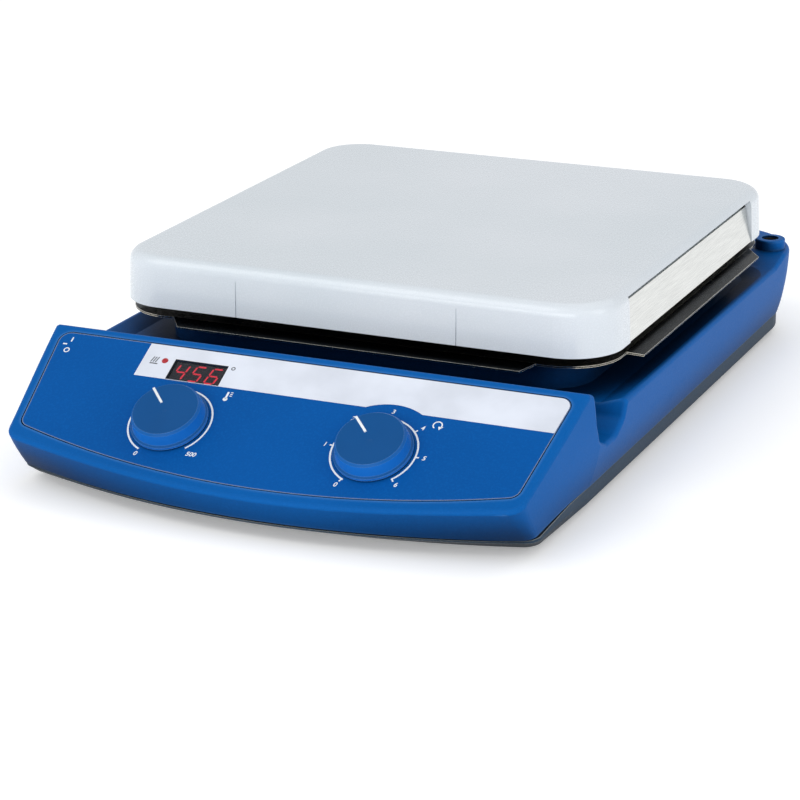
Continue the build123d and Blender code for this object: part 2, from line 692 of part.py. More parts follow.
def make_magnet_carrier():
    disc = post(0, PLATE_Y, CARRIER_Z, CARRIER_Z + 2.5, CARRIER_R)
    disc += post(0, PLATE_Y, CARRIER_Z - 2, CARRIER_Z + 7, 9.0)
    disc -= rotor_bore()
    for turn in range(4):
        hole = Pos(28, 0, CARRIER_Z + 1) * Cylinder(6, 8)
        disc -= Pos(0, PLATE_Y, 0) * Rot(0, 0, 45 + 90 * turn) * hole
    return disc


def make_magnets():
    top = CARRIER_Z + 2.5
    pair = []
    for side in (-1, 1):
        x = side * MAGNET_X
        pair.append(block(x - 7, x + 7, PLATE_Y - 10, PLATE_Y + 10, top, top + 7))
    return pair


# Power switch --------------------------------------------------------------------------------

def make_switch_frame():
    """A snap-in frame whose cavity lets the rocker swing about a pin along Y."""
    face = SWITCH_FACE_X
    hy, hz = SWITCH_HALF_Y - 0.1, SWITCH_HALF_Z - 0.1
    flange = block(face - 1.2, face, SWITCH_Y - hy - 1.4, SWITCH_Y + hy + 1.4,
                   SWITCH_Z - hz - 1.2, SWITCH_Z + hz + 1.2)
    frame = flange + block(face - 1.2, face + 14, SWITCH_Y - hy, SWITCH_Y + hy,
                           SWITCH_Z - hz, SWITCH_Z + hz)
    frame -= block(face - 5, face + 9, SWITCH_Y - 5.6, SWITCH_Y + 5.6, SWITCH_Z - 9.3, SWITCH_Z + 9.3)
    return frame - rod_y(PIVOT_X, SWITCH_Z, SWITCH_Y - 6.3, SWITCH_Y + 6.3, 1.2 + RUNNING)


def make_rocker():
    """The rocker: two facets that meet in a shallow hollow, and a pin at each side."""
    profile = make_face(Polyline(
        (3.0, -4.0), (3.0, 4.0), (-2.6, 8.2), (-4.6, 8.2), (-3.6, 0), (-4.6, -8.2), (-2.6, -8.2),
        close=True
    ))
    paddle = extrude(Plane.XZ * profile, 5.2, both=True)
    paddle += Rot(90, 0, 0) * Cylinder(1.2, 12.4)
    return Pos(PIVOT_X, SWITCH_Y, SWITCH_Z) * Rot(0, -ROCKER_TILT, 0) * paddle


# Rear connectors -----------------------------------------------------------------------------

def make_mains_inlet():
    face = REAR_Y - CONNECTOR_SINK
    body = block(INLET_X - 30.8, INLET_X + 30.8, face, REAR_Y, INLET_Z - 12.8, INLET_Z + 12.8)
    body += block(INLET_X - 28, INLET_X + 28, REAR_Y - 24, face, INLET_Z - 11, INLET_Z + 11)
    body -= block(SOCKET_X - 12.1, SOCKET_X + 12.1, REAR_Y - 18, FAR, INLET_Z - 8.2, INLET_Z + 8.2)
    body -= block(DRAWER_X - 8, DRAWER_X + 8, REAR_Y - 21, FAR, INLET_Z - 7, INLET_Z + 7)
    for x, z in INLET_PINS:
        body -= block(x - 1, x + 1, REAR_Y - 30, REAR_Y - 17, z - 2, z + 2)
    return body


def make_inlet_pins():
    return [block(x - 1, x + 1, REAR_Y - 30, REAR_Y - 5.5, z - 2, z + 2) for x, z in INLET_PINS]


def make_fuse_drawer():
    """A drawer that carries two fuses in open cradles, with a finger ridge on its face."""
    drawer = block(DRAWER_X - 7.8, DRAWER_X + 7.8, REAR_Y - 20.6, REAR_Y, INLET_Z - 6.8, INLET_Z + 6.8)
    drawer -= block(DRAWER_X - 7, DRAWER_X + 7, REAR_Y - 1.4, REAR_Y + 1, INLET_Z + 3, INLET_Z + 6)
    for side in (-1, 1):
        drawer -= rod_y(DRAWER_X + side * 3.6, INLET_Z + 3, REAR_Y - 21, REAR_Y - 3, 2.7)
    return drawer - block(DRAWER_X - 6.3, DRAWER_X + 6.3, REAR_Y - 18.6, REAR_Y - 3, INLET_Z + 3, FAR)


def make_fuses():
    low, high = REAR_Y - 20.6, REAR_Y - 3
    return [rod_y(DRAWER_X + side * 3.6, INLET_Z + 3, low, high, 2.7) for side in (-1, 1)]


def make_sensor_socket():
    """A round six-pin socket for an external probe."""
    face = REAR_Y - CONNECTOR_SINK
    body = rod_y(SENSOR_X, INLET_Z, face, REAR_Y, 10.3)
    body += rod_y(SENSOR_X, INLET_Z, REAR_Y - 16, face, 8.0)
    body -= rod_y(SENSOR_X, INLET_Z, REAR_Y - 10, REAR_Y + 1, 6.2)
    for turn in range(6):
        angle = math.radians(60 * turn)
        x, z = SENSOR_X + 3.2 * math.cos(angle), INLET_Z + 3.2 * math.sin(angle)
        body += rod_y(x, z, REAR_Y - 11, REAR_Y - 5, 0.6)
    return body


def make_sensor_nut():
    hexagon = extrude(RegularPolygon(11.5, 6), 3.0)
    back = REAR_Y - 6
    nut = Pos(SENSOR_X, back, INLET_Z) * Rot(90, 0, 0) * hexagon
    return nut - rod_y(SENSOR_X, INLET_Z, back - 10, back + 1, 8.0)


def make_rod_insert():
    insert = post(ROD_X, ROD_Y, ROD_INSERT_LOW, ROD_INSERT_TOP, ROD_INSERT_R)
    return insert - post(ROD_X, ROD_Y, ROD_INSERT_LOW + 2, ROD_INSERT_TOP + 1, ROD_HOLE_R)


# Power electronics ---------------------------------------------------------------------------

def make_power_board():
    board = block(18, 104, 92, 158, BOARD_Z, BOARD_Z + 1.6)
    for x, y in BOARD_SCREWS:
        board -= post(x, y, BOARD_Z - 1, BOARD_Z + 3, SCREW_R)
    return board


def make_capacitors():
    top = BOARD_Z + 1.6
    return [post(x, y, top, top + height, r) for x, y, r, height in CAPACITORS]


def make_transformer():
    core = block(-102, -58, 92, 130, PAN_FLOOR_Z, 42)
    coil = block(-95, -65, 86, 136, PAN_FLOOR_Z + 7, 36)
    feet = block(-110, -50, 100, 122, PAN_FLOOR_Z, PAN_FLOOR_Z + 2)
    whole = core + coil + feet
    for x, y in TRANSFORMER_SCREWS:
        whole -= post(x, y, 0, PAN_FLOOR_Z + 3, SCREW_R)
    return whole


def loom(points, radius, bend):
    """A round cable through a few points, with its corners rounded."""
    path = FilletPolyline(*points, radius=bend)
    return sweep(Plane(origin=path @ 0, z_dir=path % 0) * Circle(radius), path=path)


def build():
    parts["housing"] = make_housing()
    parts["base_pan"] = make_base_pan()
    parts["seal_ring"] = make_seal()
    for name, (x, y) in FEET.items():
        parts["foot_" + name] = make_foot(x, y)
    parts["foot_screws"] = [screw(x, y, 2.4, PAN_FLOOR_Z + 2, up=False) for x, y in FEET.values()]
    parts["pan_screws"] = [screw(x, y, PAN_Z + 1.0, 24, up=False) for x, y in PAN_SCREWS]

    parts["plate_cap"] = make_plate_cap()
    parts["side_panel_left"] = make_side_panel(-1)
    parts["side_panel_right"] = make_side_panel(1)
    parts["heater_plate"] = make_heater_plate()
    parts["heating_element"] = make_heating_element()
    parts["insulation_pad"] = make_insulation()
    parts["plate_sensor"] = rod_y(0, HEATER_LOW - 2, PLATE_Y - 25, PLATE_Y + 25, 2.0)
    parts["safety_cutout"] = post(0, CUTOUT_Y, HEATER_LOW - 8, HEATER_LOW, 8.5)
    parts["heat_shield"] = make_heat_shield()
    parts["plate_posts"] = [make_plate_post(x, y) for x, y in POSTS]
    parts["post_screws"] = [
        screw(x, y, PEDESTAL_Z - WALL, HEATER_LOW - 8, up=False) for x, y in POSTS
    ]

    parts["control_panel"] = make_control_panel()
    parts["label_band"] = make_label_band()
    parts["display_window"] = make_display_window()
    parts["status_lens"] = make_status_lens()
    parts["display_module"] = make_display_module()
    parts["control_board"] = make_control_board()
    parts["board_standoffs"] = make_board_standoffs()
    parts["pot_nuts"] = make_pot_nuts()
    for name, side in (("temp", -1), ("speed", 1)):
        parts[name + "_potentiometer"] = make_potentiometer(side)
        parts[name + "_shaft"] = make_knob_shaft(side)
        parts[name + "_knob"] = make_knob(side)
        parts[name + "_pointer"] = make_pointer(side)

    parts["motor_bracket"] = make_motor_bracket()
    parts["chassis_screws"] = [
        screw(x, y, PAN_FLOOR_Z + 2, PAN_Z + 0.2) for x, y in BRACKET_SCREWS + TRANSFORMER_SCREWS
    ]
    parts["motor_can"] = make_motor_can()
    parts["motor_screws"] = [
        screw(x, y, MOTOR_HIGH + 2, MOTOR_HIGH - 3) for x, y in MOTOR_SCREWS
    ]
    parts["motor_bearings"] = make_bearings()
    parts["stator_coils"] = make_stator()
    parts["rotor"] = make_rotor()
    parts["rotor_shaft"] = post(0, PLATE_Y, MOTOR_LOW + 1.5, CARRIER_Z + 7, ROTOR_R)
    parts["magnet_carrier"] = make_magnet_carrier()
    parts["drive_magnets"] = make_magnets()

    parts["switch_frame"] = make_switch_frame()
    parts["power_rocker"] = make_rocker()

    parts["mains_inlet"] = make_mains_inlet()
    parts["inlet_pins"] = make_inlet_pins()
    parts["fuse_drawer"] = make_fuse_drawer()
    parts["fuses"] = make_fuses()
    parts["sensor_socket"] = make_sensor_socket()
    parts["sensor_nut"] = make_sensor_nut()
    parts["rod_insert"] = make_rod_insert()

    parts["power_board"] = make_power_board()
    parts["board_screws"] = [
        screw(x, y, BOARD_Z + 1.6, PAN_Z + 0.2) for x, y in BOARD_SCREWS
    ]
    parts["board_capacitors"] = make_capacitors()
    parts["transformer"] = make_transformer()
    parts["heater_loom"] = loom([
        (HEATER_LOOM_X, HEATER_LOOM_Y, HEATER_LOW - 3),
        (HEATER_LOOM_X, HEATER_LOOM_Y, 46),
        (HEATER_LOOM_X + 40, HEATER_LOOM_Y + 30, 46),
        (HEATER_LOOM_X + 100, HEATER_LOOM_Y + 34, 46),
        (HEATER_LOOM_X + 100, HEATER_LOOM_Y + 34, BOARD_Z + 1.6),
    ], 2.0, 4.0)


if __name__ == "__main__":
    build()
    for name, shape in parts.items():
        if isinstance(shape, list):
            shape = Compound(children=shape)
        export_step(shape, f"parts/{name}.step")
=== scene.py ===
import json
import math

import bpy
from mathutils import Matrix, Vector

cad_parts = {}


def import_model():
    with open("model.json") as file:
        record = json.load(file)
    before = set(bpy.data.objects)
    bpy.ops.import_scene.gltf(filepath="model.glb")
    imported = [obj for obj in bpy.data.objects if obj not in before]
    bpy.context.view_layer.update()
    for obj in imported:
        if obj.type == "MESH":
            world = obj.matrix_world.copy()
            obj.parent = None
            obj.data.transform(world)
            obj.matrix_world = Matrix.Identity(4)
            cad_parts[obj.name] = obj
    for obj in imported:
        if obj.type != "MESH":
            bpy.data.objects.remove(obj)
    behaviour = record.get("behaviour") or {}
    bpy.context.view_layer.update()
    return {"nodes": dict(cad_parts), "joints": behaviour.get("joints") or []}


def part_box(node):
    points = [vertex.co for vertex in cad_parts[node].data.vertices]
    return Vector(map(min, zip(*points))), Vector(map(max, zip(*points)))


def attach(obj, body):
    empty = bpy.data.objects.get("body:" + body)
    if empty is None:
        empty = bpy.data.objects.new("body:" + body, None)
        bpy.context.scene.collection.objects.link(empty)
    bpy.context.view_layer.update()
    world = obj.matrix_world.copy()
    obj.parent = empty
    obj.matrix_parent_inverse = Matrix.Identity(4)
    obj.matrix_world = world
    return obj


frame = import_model()
NODES = frame["nodes"]
JOINTS = {joint["name"]: joint for joint in frame["joints"]}
MM = 0.001

# The control panel's directions: its normal, across it and up its slope
TEMP = JOINTS["temp_knob_turn"]
SPEED = JOINTS["speed_knob_turn"]
NORMAL = -Vector(TEMP["axis"])
ACROSS = Vector((1, 0, 0))
UP = NORMAL.cross(ACROSS)


# Shader helpers ------------------------------------------------------------------------------

class Shader:
    """One node material, built up call by call. Every method returns an output socket."""

    def __init__(self, name):
        self.mat = bpy.data.materials.new(name)
        self.mat.use_nodes = True
        self.tree = self.mat.node_tree
        self.tree.nodes.clear()
        self.place = self.add("ShaderNodeTexCoord").outputs["Object"]

    def add(self, kind, **settings):
        node = self.tree.nodes.new(kind)
        for key, value in settings.items():
            setattr(node, key, value)
        return node

    def put(self, socket, value):
        if isinstance(value, bpy.types.NodeSocket):
            self.tree.links.new(value, socket)
        else:
            socket.default_value = value

    def stretched(self, x, y, z):
        node = self.add("ShaderNodeMapping")
        self.put(node.inputs["Vector"], self.place)
        node.inputs["Scale"].default_value = (x, y, z)
        return node.outputs["Vector"]

    def noise(self, scale, detail=3.0, rough=0.5, place=None):
        node = self.add("ShaderNodeTexNoise")
        self.put(node.inputs["Vector"], place or self.place)
        node.inputs["Scale"].default_value = scale
        node.inputs["Detail"].default_value = detail
        node.inputs["Roughness"].default_value = rough
        return node.outputs["Fac"]

    def level(self, value, low, high, out_low=0.0, out_high=1.0):
        node = self.add("ShaderNodeMapRange", interpolation_type="SMOOTHSTEP")
        self.put(node.inputs["Value"], value)
        node.inputs["From Min"].default_value = low
        node.inputs["From Max"].default_value = high
        node.inputs["To Min"].default_value = out_low
        node.inputs["To Max"].default_value = out_high
        return node.outputs["Result"]

    def math(self, operation, a, b=0.0):
        node = self.add("ShaderNodeMath", operation=operation)
        self.put(node.inputs[0], a)
        self.put(node.inputs[1], b)
        return node.outputs[0]

    def mix(self, factor, a, b):
        node = self.add("ShaderNodeMix", data_type="RGBA")
        self.put(node.inputs["Factor"], factor)
        self.put(node.inputs[6], a)
        self.put(node.inputs[7], b)
        return node.outputs[2]

    def edge(self, radius, low=0.02, high=0.25):
        """1 on sharp edges and 0 elsewhere."""
        bevel = self.add("ShaderNodeBevel", samples=6)
        bevel.inputs["Radius"].default_value = radius
        true = self.add("ShaderNodeNewGeometry").outputs["Normal"]
        dot = self.add("ShaderNodeVectorMath", operation="DOT_PRODUCT")
        self.put(dot.inputs[0], bevel.outputs["Normal"])
        self.put(dot.inputs[1], true)
        return self.level(self.math("SUBTRACT", 1.0, dot.outputs["Value"]), low, high)

    def shelter(self, distance, low=0.25, high=0.85):
        """0 deep in a recess and 1 in the open."""
        node = self.add("ShaderNodeAmbientOcclusion", samples=8)
        node.inputs["Distance"].default_value = distance
        return self.level(node.outputs["AO"], low, high)

    def bump(self, height, distance, strength=1.0, under=None):
        node = self.add("ShaderNodeBump")
        self.put(node.inputs["Height"], height)
        node.inputs["Distance"].default_value = distance
        node.inputs["Strength"].default_value = strength
        if under is not None:
            self.put(node.inputs["Normal"], under)
        return node.outputs["Normal"]

    def surface(self, **inputs):
        node = self.add("ShaderNodeBsdfPrincipled")
        for key, value in inputs.items():
            self.put(node.inputs[key.replace("_", " ")], value)
        out = self.add("ShaderNodeOutputMaterial")
        self.tree.links.new(node.outputs[0], out.inputs["Surface"])
        return self.mat


def srgb(*channels):
    """8-bit screen colour as linear RGBA."""
    out = [(c / 255 / 12.92) if c <= 10 else ((c / 255 + 0.055) / 1.055) ** 2.4 for c in channels]
    return (*out, 1.0)


# Materials -----------------------------------------------------------------------------------

def painted(name, colour, highlight_tint, speck, grain=1.0, rough=0.42, specular=0.05, edge_highlight=0.4, shade_level=0.12,
            highlight_width=0.003):
    """Sprayed paint: orange peel, slow tone drift, faint scuffs, a pale tint on sharp edges as a painted
    highlight and a darker colour in recesses as painted shade.
    """
    s = Shader(name)
    drift = s.noise(9.0, 4.0)
    peel = s.noise(1100.0, 2.0, 0.6)
    fleck = s.noise(900.0, 3.0, 0.6)
    scuff = s.level(s.noise(60.0, 8.0, 0.7, s.stretched(1.0, 0.25, 1.0)), 0.60, 0.78)
    dark = tuple(c * 0.92 for c in colour[:3]) + (1.0,)
    painted_shade = tuple(c * shade_level for c in colour[:3]) + (1.0,)
    tone = s.mix(s.level(drift, 0.3, 0.7), dark, colour)
    tone = s.mix(s.math("MULTIPLY", s.level(fleck, 0.45, 0.7), 0.16 * grain), tone, speck)
    # pale tint on sharp edges: a painted highlight
    tone = s.mix(s.math("MULTIPLY", s.edge(highlight_width, 0.01, 0.16), edge_highlight), tone, highlight_tint)
    # darker colour where ambient occlusion finds a recess: painted shade
    tone = s.mix(s.shelter(0.05), painted_shade, tone)
    roughness = s.math("ADD", s.math("MULTIPLY", scuff, 0.08),
                       s.level(peel, 0.2, 0.8, rough, rough + 0.07))
    normal = s.bump(s.noise(380.0, 3.0), 0.00006, 0.55 * grain)
    normal = s.bump(peel, 0.00003, 0.6 * grain, normal)
    return s.surface(Base_Color=tone, Roughness=roughness, Normal=normal, Specular_IOR_Level=specular)


def enamel():
    """Glossy white glaze: slight waviness, pinholes, faint grey use marks on the top."""
    s = Shader("white_enamel")
    drift = s.noise(7.0, 4.0)
    speck = s.noise(1700.0, 1.0)
    marks = s.level(s.noise(26.0, 9.0, 0.72), 0.58, 0.8)
    tone = s.mix(s.level(drift, 0.3, 0.7), srgb(205, 213, 219), srgb(214, 220, 226))
    tone = s.mix(s.math("MULTIPLY", s.level(speck, 0.62, 0.8), 0.25), tone, srgb(176, 186, 194))
    tone = s.mix(s.math("MULTIPLY", marks, 0.14), tone, srgb(182, 186, 188))
    roughness = s.math("ADD", s.level(speck, 0.2, 0.8, 0.22, 0.30), s.math("MULTIPLY", marks, 0.12))
    normal = s.bump(s.noise(170.0, 3.0), 0.00010, 0.5)
    normal = s.bump(s.noise(900.0, 2.0), 0.00003, 0.5, normal)
    return s.surface(Base_Color=tone, Roughness=roughness, Normal=normal, Specular_IOR_Level=0.5,
                     Coat_Weight=0.35, Coat_Roughness=0.08)


def steel(name, colour, rough=0.2, along=(1.0, 0.02, 1.0), edge_glint=None, lines=1.0):
    """Drawn or rolled metal with a fine grain along one axis, smudges and a painted glint of brighter
    colour on the edges.
    """
    s = Shader(name)
    grain = s.noise(2600.0, 3.0, 0.6, s.stretched(*along))
    smudge = s.level(s.noise(22.0, 6.0, 0.65), 0.42, 0.75)
    dull = tuple(c * 0.82 for c in colour[:3]) + (1.0,)
    tone = s.mix(s.level(grain, 0.3, 0.7), dull, colour)
    if edge_glint:
        # brighter colour on sharp edges: a painted glint
        tone = s.mix(s.edge(0.0008, 0.02, 0.2), tone, edge_glint)
    roughness = s.math("ADD", s.level(grain, 0.25, 0.75, rough, rough + 0.10 * lines),
                       s.math("MULTIPLY", smudge, 0.09))
    normal = s.bump(grain, 0.00002, 0.5 * lines)
    return s.surface(Base_Color=tone, Metallic=1.0, Roughness=roughness, Normal=normal)


def plastic(name, colour, rough=0.45, specular=0.4, coarse=900.0, depth=0.00005):
    """Moulded plastic with a spark-eroded grain, a slow tone drift and paler sharp edges."""
    s = Shader(name)
    grain = s.noise(coarse, 3.0, 0.6)
    pale = tuple(min(1.0, c * 1.5 + 0.02) for c in colour[:3]) + (1.0,)
    dark = tuple(c * 0.85 for c in colour[:3]) + (1.0,)
    tone = s.mix(s.level(s.noise(30.0, 4.0), 0.3, 0.7), dark, colour)
    tone = s.mix(s.math("MULTIPLY", s.edge(0.0005), 0.4), tone, pale)
    roughness = s.level(grain, 0.2, 0.8, rough - 0.05, rough + 0.08)
    return s.surface(Base_Color=tone, Roughness=roughness, Normal=s.bump(grain, depth, 0.6),
                     Specular_IOR_Level=specular)


def knob_plastic(face, side, edge_highlight):
    """Moulded blue plastic: a matt face turned to the panel's normal, lighter sides as a painted sheen,
    pale edges as a painted highlight.
    """
    s = Shader("knob_blue")
    grain = s.noise(1500.0, 3.0, 0.6)
    facing = s.add("ShaderNodeVectorMath", operation="DOT_PRODUCT")
    s.put(facing.inputs[0], s.add("ShaderNodeNewGeometry").outputs["Normal"])
    facing.inputs[1].default_value = NORMAL
    # sides lighter than the face: a painted sheen
    tone = s.mix(s.level(facing.outputs["Value"], 0.45, 0.9), side, face)
    dark = s.mix(0.9, (0.0, 0.0, 0.0, 1.0), tone)
    tone = s.mix(s.level(s.noise(30.0, 4.0), 0.3, 0.7), dark, tone)
    # pale tint on sharp edges: a painted highlight
    tone = s.mix(s.math("MULTIPLY", s.edge(0.0009, 0.02, 0.2), 0.5), tone, edge_highlight)
    return s.surface(Base_Color=tone, Roughness=s.level(grain, 0.2, 0.8, 0.32, 0.44),
                     Normal=s.bump(grain, 0.00003, 0.6), Specular_IOR_Level=0.12)


def ink(name, colour, glow=0.0):
    """Screen-printed ink: slightly uneven cover over the grain of the film."""
    s = Shader(name)
    cover = s.noise(2400.0, 2.0)
    thin = tuple(c * 0.86 for c in colour[:3]) + (1.0,)
    tone = s.mix(s.level(cover, 0.35, 0.65), thin, colour)
    return s.surface(Base_Color=tone, Roughness=s.level(cover, 0.2, 0.8, 0.42, 0.6),
                     Normal=s.bump(cover, 0.00001, 0.4), Emission_Color=colour, Emission_Strength=glow)


def tinted(name, colour, deep):
    """Tinted window plastic with faint hairlines."""
    s = Shader(name)
    hair = s.level(s.noise(500.0, 6.0, 0.7, s.stretched(1.0, 0.05, 1.0)), 0.62, 0.75)
    clear = s.add("ShaderNodeBsdfTransparent")
    s.put(clear.inputs["Color"], s.mix(s.noise(200.0), colour, deep))
    gloss = s.add("ShaderNodeBsdfGlossy")
    gloss.inputs["Color"].default_value = (0.85, 0.9, 0.95, 1.0)
    s.put(gloss.inputs["Roughness"], s.level(hair, 0.0, 1.0, 0.06, 0.3))
    blend = s.add("ShaderNodeMixShader")
    fresnel = s.add("ShaderNodeFresnel")
    fresnel.inputs["IOR"].default_value = 1.3
    s.put(blend.inputs[0], s.math("ADD", fresnel.outputs[0], s.math("MULTIPLY", hair, 0.03)))
    s.tree.links.new(clear.outputs[0], blend.inputs[1])
    s.tree.links.new(gloss.outputs[0], blend.inputs[2])
    out = s.add("ShaderNodeOutputMaterial")
    s.tree.links.new(blend.outputs[0], out.inputs["Surface"])
    return s.mat


BLUE = srgb(5, 88, 162)
LIVELY_BLUE = srgb(12, 104, 188)
# pale blue for the housing's sharp edges: a painted highlight
HIGHLIGHT_BLUE = srgb(88, 140, 195)

M = {
    "blue": painted("blue_paint", BLUE, HIGHLIGHT_BLUE, LIVELY_BLUE),
    # slate paint: its pale beige edge tint is a painted highlight
    "slate": painted("slate_paint", srgb(44, 68, 90), srgb(176, 176, 168), srgb(74, 96, 114), 0.8, 0.42,
                     0.12, 0.8, 0.2, 0.0012),
    "enamel": enamel(),
    "panel_steel": steel("panel_steel", srgb(226, 227, 224), 0.22, edge_glint=srgb(240, 238, 230),
                         lines=0.15),
    # near-black polished steel: painted dark reflection and shade under the plate; its pale edge colour is
    # a painted glint
    "shield": steel("shield_steel", srgb(12, 17, 21), 0.2, (1.0, 0.1, 1.0), srgb(236, 230, 214), 0.5),
    # blue film: its pale grey edge tint is a painted highlight line round the insert
    "film": painted("blue_film", srgb(5, 82, 156), srgb(150, 158, 166), LIVELY_BLUE, 1.3, 0.5, 0.04, 0.8,
                    0.5, 0.0012),
    "band": plastic("white_film", srgb(222, 227, 238), 0.42, 0.3, 1600.0, 0.00002),
    # knob: a lighter side colour as painted sheen and a pale edge colour as painted highlight
    "knob": knob_plastic(srgb(8, 76, 136), srgb(20, 104, 190), srgb(120, 160, 208)),
    "white_inlay": plastic("white_inlay", srgb(235, 238, 240), 0.4, 0.4),
    "black": plastic("black_plastic", srgb(26, 28, 30), 0.42),
    "gloss_black": plastic("switch_black", srgb(20, 21, 23), 0.22, 0.5, 500.0, 0.00002),
    "rubber": plastic("black_rubber", srgb(24, 24, 25), 0.72, 0.25, 420.0, 0.00012),
    "zinc": steel("zinc_screw", srgb(190, 190, 186), 0.28, (1.0, 1.0, 1.0)),
    "brass": steel("turned_brass", srgb(214, 178, 96), 0.22, (1.0, 1.0, 0.05)),
    # darkened brass: painted shade standing in for the dark rod socket
    "shade_dark_brass": steel("shade_darkened_brass", srgb(92, 84, 70), 0.45, (1.0, 1.0, 0.05)),
    "aluminium": steel("cast_aluminium", srgb(180, 182, 184), 0.4, (1.0, 1.0, 1.0)),
    "iron": steel("dark_iron", srgb(70, 72, 76), 0.5, (1.0, 1.0, 0.02)),
    "copper": steel("wound_copper", srgb(184, 98, 52), 0.35, (0.2, 0.2, 1.0)),
    "ceramic": plastic("raw_ceramic", srgb(224, 218, 200), 0.7, 0.3, 700.0, 0.0001),
    "board": plastic("solder_mask", srgb(22, 92, 50), 0.3, 0.5, 300.0, 0.00002),
    "mat": plastic("fibre_mat", srgb(222, 219, 208), 0.95, 0.1, 240.0, 0.0006),
    "window": tinted("window_plastic", (0.58, 0.56, 0.58, 1.0), (0.52, 0.51, 0.54, 1.0)),
    "lens": plastic("red_lens", srgb(170, 30, 40), 0.2, 0.5, 500.0, 0.00001),
    "display": plastic("display_face", srgb(30, 46, 58), 0.5, 0.1, 800.0, 0.00002),
    "ink": ink("white_ink", srgb(236, 240, 244)),
    "grey_ink": ink("grey_ink", srgb(70, 74, 80)),
    "segment": ink("lit_segment", srgb(238, 44, 62), 2.8),
    "fuse": tinted("fuse_glass", (0.9, 0.92, 0.92, 1.0), (0.8, 0.85, 0.85, 1.0)),
}

LOOKS = {
    "blue": ["housing"],
    "slate": ["base_pan"],
    "enamel": ["plate_cap"],
    "panel_steel": ["side_panel_left", "side_panel_right"],
    "shield": ["heat_shield"],
    "film": ["control_panel"],
    "band": ["label_band"],
    "knob": ["temp_knob", "speed_knob"],
    "white_inlay": ["temp_pointer", "speed_pointer"],
    "window": ["display_window"],
    "lens": ["status_lens"],
    "display": ["display_module"],
    "black": ["mains_inlet", "fuse_drawer", "sensor_socket", "temp_potentiometer", "speed_potentiometer"],
    "gloss_black": ["switch_frame", "power_rocker", "board_capacitors"],
    "rubber": ["seal_ring", "foot_front_left", "foot_front_right", "foot_rear_left",
               "foot_rear_right", "heater_loom"],
    "zinc": ["foot_screws", "pan_screws", "post_screws", "chassis_screws", "motor_screws",
             "board_screws", "temp_shaft", "speed_shaft", "rotor_shaft", "motor_bearings",
             "drive_magnets", "plate_sensor", "motor_bracket"],
    "shade_dark_brass": ["rod_insert"],
    "brass": ["inlet_pins", "sensor_nut", "pot_nuts", "board_standoffs"],
    "aluminium": ["heater_plate", "magnet_carrier"],
    "iron": ["transformer", "rotor", "motor_can"],
    "copper": ["stator_coils"],
    "ceramic": ["plate_posts", "safety_cutout", "heating_element"],
    "board": ["control_board", "power_board"],
    "mat": ["insulation_pad"],
    "fuse": ["fuses"],
}
for look, names in LOOKS.items():
    for name in names:
        mesh = NODES[name].data
        mesh.materials.clear()
        mesh.materials.append(M[look])


# Printed marks on the control panel ----------------------------------------------------------

TEMP_AT = Vector(TEMP["pos_m"])
SPEED_AT = Vector(SPEED["pos_m"])


def panel_frame(origin):
    """Matrix whose X runs across the panel, Y up its slope and Z out of it."""
    columns = Matrix((ACROSS, UP, NORMAL)).transposed().to_4x4()
    return Matrix.Translation(origin) @ columns


def centre(node):
    low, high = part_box(node)
    return (low + high) / 2


def dropped(point):
    """A point moved along the panel's normal onto the panel's surface."""
    return point - NORMAL * (point - TEMP_AT).dot(NORMAL)


def flat_piece(name, outlines, origin, low, high, material, body="base"):
    """Thin raised shapes, given as polygons in millimetres on the panel about origin."""
    vertices, faces = [], []
    place = panel_frame(origin)
    for outline in outlines:
        start, count = len(vertices), len(outline)
        for height in (low, high):
            vertices += [place @ Vector((x * MM, y * MM, height * MM)) for x, y in outline]
        faces.append([start + count + i for i in range(count)])
        faces.append([start + i for i in reversed(range(count))])
        for i in range(count):
            j = (i + 1) % count
            faces.append([start + i, start + j, start + count + j, start + count + i])
    mesh = bpy.data.meshes.new(name)
    mesh.from_pydata(vertices, [], faces)
    mesh.materials.append(M[material])
    piece = bpy.data.objects.new(name, mesh)
    bpy.context.scene.collection.objects.link(piece)
    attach(piece, body)
    return piece


def bar(x0, y0, x1, y1, width):
    """A straight stroke as a polygon."""
    along = Vector((x1 - x0, y1 - y0)).normalized()
    side = Vector((-along.y, along.x)) * width / 2
    ends = (Vector((x0, y0)), Vector((x1, y1)))
    return [tuple(ends[0] + side), tuple(ends[0] - side), tuple(ends[1] - side), tuple(ends[1] + side)]


def polar(degrees, radius):
    """A point on a dial: 0 is straight up the slope and clockwise is positive."""
    angle = math.radians(degrees)
    return radius * math.sin(angle), radius * math.cos(angle)


def sweep_stroke(start, end, radius, width, steps):
    """A curved stroke round a dial, as short polygons side by side."""
    pieces = []
    for k in range(steps):
        a = start + (end - start) * k / steps
        b = start + (end - start) * (k + 1) / steps
        pieces.append([polar(a, radius + width / 2), polar(b, radius + width / 2),
                       polar(b, radius - width / 2), polar(a, radius - width / 2)])
    return pieces


def disc(x, y, radius, steps=20):
    angles = [2 * math.pi * k / steps for k in range(steps)]
    return [(x + radius * math.cos(a), y + radius * math.sin(a)) for a in angles]


def lettering(name, text, x, y, size, origin, material="ink"):
    """A printed number at a place on the panel about origin, in millimetres."""
    curve = bpy.data.curves.new(name, "FONT")
    curve.body = text
    curve.size = size * MM
    curve.align_x = "CENTER"
    curve.align_y = "CENTER"
    curve.shear = 0.18
    curve.offset = 0.00006
    curve.extrude = 0.00002
    curve.materials.append(M[material])
    piece = bpy.data.objects.new(name, curve)
    piece.matrix_world = panel_frame(origin) @ Matrix.Translation((x * MM, y * MM, 0.00004))
    bpy.context.scene.collection.objects.link(piece)
    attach(piece, "base")
    return piece


